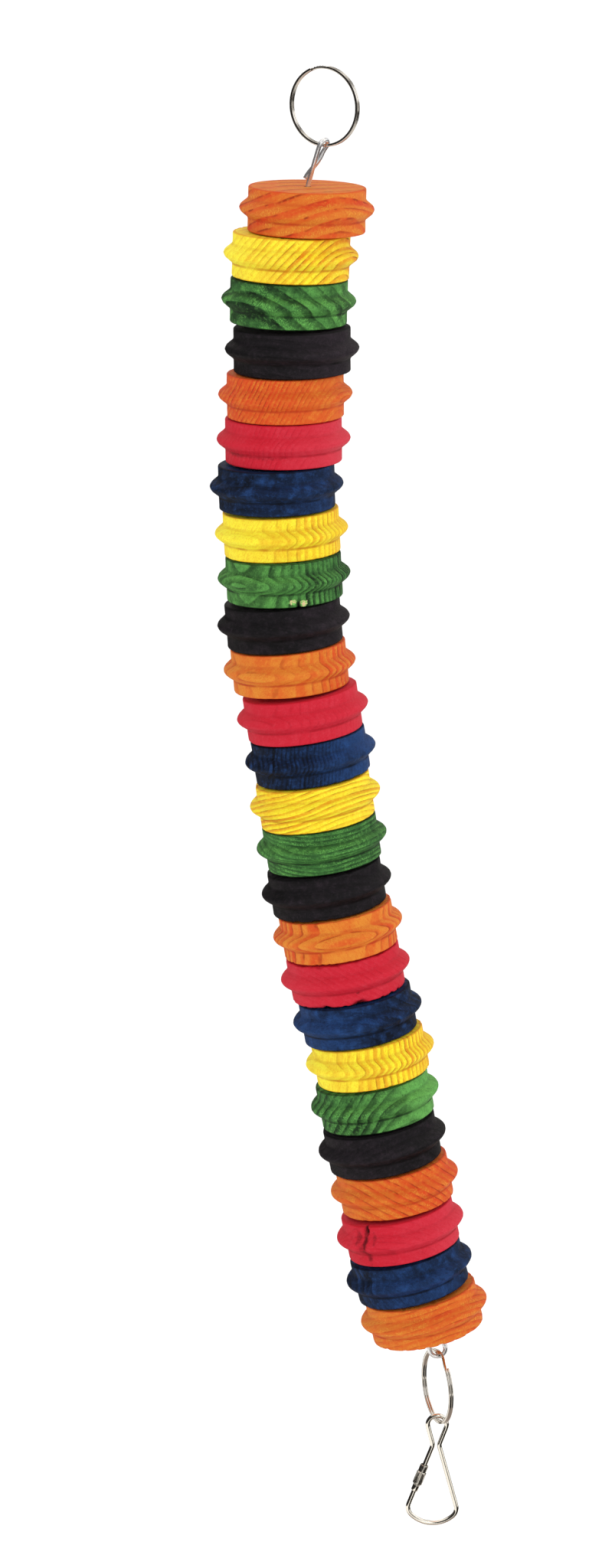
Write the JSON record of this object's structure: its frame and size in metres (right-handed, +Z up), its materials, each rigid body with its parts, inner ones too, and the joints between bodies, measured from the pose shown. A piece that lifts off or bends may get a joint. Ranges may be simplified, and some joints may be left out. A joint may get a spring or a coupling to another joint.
{
  "type": "hanging toy of wooden discs on a wire",
  "caption": "Hanging toy of beaded, dyed wooden discs strung loosely on a bent steel wire, with a split ring at each end and a pear link with a screw sleeve below.",
  "frame": {"origin": "hanging point: the inside of the top split ring at its highest point", "axes": "+Z up the hanging toy, +X to the right and +Y away from a viewer who sees the bend of the wire side on"},
  "size_m": [0.0948, 0.0473, 0.5256],
  "materials": {
    "wood_orange": "softwood dyed orange, turned, unvarnished",
    "wood_yellow": "softwood dyed yellow, turned, unvarnished",
    "wood_green": "softwood dyed green, turned, unvarnished",
    "wood_black": "softwood dyed black, turned, unvarnished",
    "wood_red": "softwood dyed red, turned, unvarnished",
    "wood_blue": "softwood dyed blue, turned, unvarnished",
    "wire_steel": "drawn steel wire, nickel plated",
    "ring_steel": "nickel plated, polished",
    "link_steel": "nickel plated, polished"
  },
  "bodies": {
    "top_ring": {"top_split_ring": "ring_steel"},
    "core_wire": {"core_wire": "wire_steel"},
    "bottom_ring": {"bottom_split_ring": "ring_steel"},
    "pear_link": {"pear_link": "link_steel"},
    "screw_sleeve": {"screw_sleeve": "link_steel"},
    "disc_01_orange": {"disc_01_orange": "wood_orange"},
    "disc_02_yellow": {"disc_02_yellow": "wood_yellow"},
    "disc_03_green": {"disc_03_green": "wood_green"},
    "disc_04_black": {"disc_04_black": "wood_black"},
    "disc_05_orange": {"disc_05_orange": "wood_orange"},
    "disc_06_red": {"disc_06_red": "wood_red"},
    "disc_07_blue": {"disc_07_blue": "wood_blue"},
    "disc_08_yellow": {"disc_08_yellow": "wood_yellow"},
    "disc_09_green": {"disc_09_green": "wood_green"},
    "disc_10_black": {"disc_10_black": "wood_black"},
    "disc_11_orange": {"disc_11_orange": "wood_orange"},
    "disc_12_red": {"disc_12_red": "wood_red"},
    "disc_13_blue": {"disc_13_blue": "wood_blue"},
    "disc_14_yellow": {"disc_14_yellow": "wood_yellow"},
    "disc_15_green": {"disc_15_green": "wood_green"},
    "disc_16_black": {"disc_16_black": "wood_black"},
    "disc_17_orange": {"disc_17_orange": "wood_orange"},
    "disc_18_red": {"disc_18_red": "wood_red"},
    "disc_19_blue": {"disc_19_blue": "wood_blue"},
    "disc_20_yellow": {"disc_20_yellow": "wood_yellow"},
    "disc_21_green": {"disc_21_green": "wood_green"},
    "disc_22_black": {"disc_22_black": "wood_black"},
    "disc_23_orange": {"disc_23_orange": "wood_orange"},
    "disc_24_red": {"disc_24_red": "wood_red"},
    "disc_25_blue": {"disc_25_blue": "wood_blue"},
    "disc_26_orange": {"disc_26_orange": "wood_orange"}
  },
  "joints": [
    {"name": "wire_swing", "type": "hinge", "parent": "top_ring", "child": "core_wire", "pos_m": [0, 0, -0.0259], "axis": [0.8387, -0.5446, 0], "range_deg": [-110, 110]},
    {"name": "bottom_ring_swing", "type": "hinge", "parent": "core_wire", "child": "bottom_ring", "pos_m": [0.03646, 0, -0.45792], "axis": [0.342, -0.9397, 0], "range_deg": [-80, 80]},
    {"name": "link_swing", "type": "hinge", "parent": "bottom_ring", "child": "pear_link", "pos_m": [0.03646, 0, -0.48432], "axis": [0.342, -0.9397, 0], "range_deg": [-65, 65]},
    {"name": "sleeve_slide", "type": "slide", "parent": "pear_link", "child": "screw_sleeve", "axis": [0.3662, 0, 0.9305], "range_m": [0, 0.0062]},
    {"name": "disc_01_spin", "type": "hinge", "parent": "core_wire", "child": "disc_01_orange", "pos_m": [-0.00627, 0, -0.04723], "axis": [0.0335, 0, 0.9994], "continuous": true},
    {"name": "disc_02_spin", "type": "hinge", "parent": "core_wire", "child": "disc_02_yellow", "pos_m": [-0.01177, 0, -0.0627], "axis": [0.0408, 0, 0.9992], "continuous": true},
    {"name": "disc_03_spin", "type": "hinge", "parent": "core_wire", "child": "disc_03_green", "pos_m": [-0.01273, 0.00061, -0.07828], "axis": [0.0354, 0, 0.9994], "continuous": true},
    {"name": "disc_04_spin", "type": "hinge", "parent": "core_wire", "child": "disc_04_black", "pos_m": [-0.01177, -0.00042, -0.09479], "axis": [0.0019, 0, 1], "continuous": true},
    {"name": "disc_05_spin", "type": "hinge", "parent": "core_wire", "child": "disc_05_orange", "pos_m": [-0.01425, 0.0002, -0.1104], "axis": [-0.0028, 0, 1], "continuous": true},
    {"name": "disc_06_spin", "type": "hinge", "parent": "core_wire", "child": "disc_06_red", "pos_m": [-0.01504, 0.00061, -0.12592], "axis": [-0.0019, 0, 1], "continuous": true},
    {"name": "disc_07_spin", "type": "hinge", "parent": "core_wire", "child": "disc_07_blue", "pos_m": [-0.01757, -0.00042, -0.14182], "axis": [-0.0195, 0, 0.9998], "continuous": true},
    {"name": "disc_08_spin", "type": "hinge", "parent": "core_wire", "child": "disc_08_yellow", "pos_m": [-0.01609, 0.00032, -0.15786], "axis": [-0.0432, 0, 0.9991], "continuous": true},
    {"name": "disc_09_spin", "type": "hinge", "parent": "core_wire", "child": "disc_09_green", "pos_m": [-0.0154, -0.00071, -0.17339], "axis": [-0.0412, 0, 0.9992], "continuous": true},
    {"name": "disc_10_spin", "type": "hinge", "parent": "core_wire", "child": "disc_10_black", "pos_m": [-0.01573, 0.0002, -0.18962], "axis": [-0.0746, 0, 0.9972], "continuous": true},
    {"name": "disc_11_spin", "type": "hinge", "parent": "core_wire", "child": "disc_11_orange", "pos_m": [-0.0138, 0.00051, -0.20518], "axis": [-0.0825, 0, 0.9966], "continuous": true},
    {"name": "disc_12_spin", "type": "hinge", "parent": "core_wire", "child": "disc_12_red", "pos_m": [-0.00949, -0.00032, -0.22147], "axis": [-0.1372, 0, 0.9905], "continuous": true},
    {"name": "disc_13_spin", "type": "hinge", "parent": "core_wire", "child": "disc_13_blue", "pos_m": [-0.00695, 0.00032, -0.23684], "axis": [-0.1409, 0, 0.99], "continuous": true},
    {"name": "disc_14_spin", "type": "hinge", "parent": "core_wire", "child": "disc_14_yellow", "pos_m": [-0.00543, -0.00061, -0.25257], "axis": [-0.1451, 0, 0.9894], "continuous": true},
    {"name": "disc_15_spin", "type": "hinge", "parent": "core_wire", "child": "disc_15_green", "pos_m": [-0.00329, 0.00042, -0.26803], "axis": [-0.1401, 0, 0.9901], "continuous": true},
    {"name": "disc_16_spin", "type": "hinge", "parent": "core_wire", "child": "disc_16_black", "pos_m": [-0.00173, 0.0001, -0.28413], "axis": [-0.1524, 0, 0.9883], "continuous": true},
    {"name": "disc_17_spin", "type": "hinge", "parent": "core_wire", "child": "disc_17_orange", "pos_m": [0.00212, -0.00051, -0.29952], "axis": [-0.1573, 0, 0.9875], "continuous": true},
    {"name": "disc_18_spin", "type": "hinge", "parent": "core_wire", "child": "disc_18_red", "pos_m": [0.00462, 0.00042, -0.31524], "axis": [-0.163, 0, 0.9866], "continuous": true},
    {"name": "disc_19_spin", "type": "hinge", "parent": "core_wire", "child": "disc_19_blue", "pos_m": [0.00875, 0, -0.33077], "axis": [-0.168, 0, 0.9858], "continuous": true},
    {"name": "disc_20_spin", "type": "hinge", "parent": "core_wire", "child": "disc_20_yellow", "pos_m": [0.01305, -0.0002, -0.34596], "axis": [-0.1725, 0, 0.985], "continuous": true},
    {"name": "disc_21_spin", "type": "hinge", "parent": "core_wire", "child": "disc_21_green", "pos_m": [0.01466, 0.00061, -0.36201], "axis": [-0.1769, 0, 0.9842], "continuous": true},
    {"name": "disc_22_spin", "type": "hinge", "parent": "core_wire", "child": "disc_22_black", "pos_m": [0.01717, -0.0002, -0.37802], "axis": [-0.1815, 0, 0.9834], "continuous": true},
    {"name": "disc_23_spin", "type": "hinge", "parent": "core_wire", "child": "disc_23_orange", "pos_m": [0.02141, 0.00051, -0.39365], "axis": [-0.1749, 0, 0.9846], "continuous": true},
    {"name": "disc_24_spin", "type": "hinge", "parent": "core_wire", "child": "disc_24_red", "pos_m": [0.02339, -0.00051, -0.41014], "axis": [-0.1972, 0, 0.9804], "continuous": true},
    {"name": "disc_25_spin", "type": "hinge", "parent": "core_wire", "child": "disc_25_blue", "pos_m": [0.02652, 0.00032, -0.42625], "axis": [-0.2271, 0, 0.9739], "continuous": true},
    {"name": "disc_26_spin", "type": "hinge", "parent": "core_wire", "child": "disc_26_orange", "pos_m": [0.0317, 0, -0.44187], "axis": [-0.2052, 0, 0.9787], "continuous": true}
  ]
}
